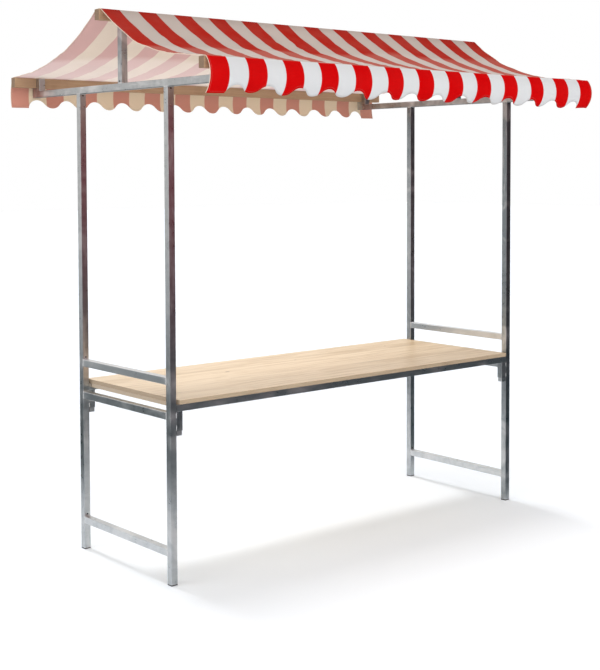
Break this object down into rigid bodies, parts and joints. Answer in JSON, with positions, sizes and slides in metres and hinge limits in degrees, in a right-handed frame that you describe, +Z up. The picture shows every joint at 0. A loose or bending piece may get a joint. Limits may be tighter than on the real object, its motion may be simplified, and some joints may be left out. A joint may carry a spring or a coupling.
{
  "type": "market stall",
  "caption": "Open market stall: two square-tube steel end frames, a wooden counter board, wooden roof battens and a sagging striped canopy with scalloped valances.",
  "frame": {"origin": "on the ground in the middle between the four feet", "axes": "+Z up, +X along the counter to the right as a customer sees it, +Y from the customers' side to the seller's side"},
  "size_m": [2.274, 1.5277, 2.3293],
  "materials": {
    "galvanised_steel": "hot-dip galvanised, mottled grey with pale runs",
    "foot_plastic": "matt black caps",
    "table_wood": "bare pale softwood, fine grain along the counter",
    "batten_wood": "planed softwood, darker with age",
    "striped_canvas": "woven awning cloth in red and white stripes of equal width"
  },
  "bodies": {
    "root": {"left_lower_rail": "galvanised_steel", "left_table_rail": "galvanised_steel", "left_upper_rail": "galvanised_steel", "left_tie_beam": "galvanised_steel", "left_king_post": "galvanised_steel", "left_ridge_cradle": "galvanised_steel", "left_table_cleat": "table_wood", "left_front_post": "galvanised_steel", "left_front_foot": "foot_plastic", "left_front_table_socket": "galvanised_steel", "left_front_eave_saddle": "galvanised_steel", "left_back_post": "galvanised_steel", "left_back_foot": "foot_plastic", "left_back_table_socket": "galvanised_steel", "left_back_eave_saddle": "galvanised_steel", "right_lower_rail": "galvanised_steel", "right_table_rail": "galvanised_steel", "right_upper_rail": "galvanised_steel", "right_tie_beam": "galvanised_steel", "right_king_post": "galvanised_steel", "right_ridge_cradle": "galvanised_steel", "right_table_cleat": "table_wood", "right_front_post": "galvanised_steel", "right_front_foot": "foot_plastic", "right_front_table_socket": "galvanised_steel", "right_front_eave_saddle": "galvanised_steel", "right_back_post": "galvanised_steel", "right_back_foot": "foot_plastic", "right_back_table_socket": "galvanised_steel", "right_back_eave_saddle": "galvanised_steel", "front_table_beam": "galvanised_steel", "front_eave_batten": "batten_wood", "front_roof_canvas": "striped_canvas", "front_valance": "striped_canvas", "back_table_beam": "galvanised_steel", "back_eave_batten": "batten_wood", "back_roof_canvas": "striped_canvas", "back_valance": "striped_canvas", "table_top": "table_wood", "ridge_batten": "batten_wood"}
  },
  "joints": []
}
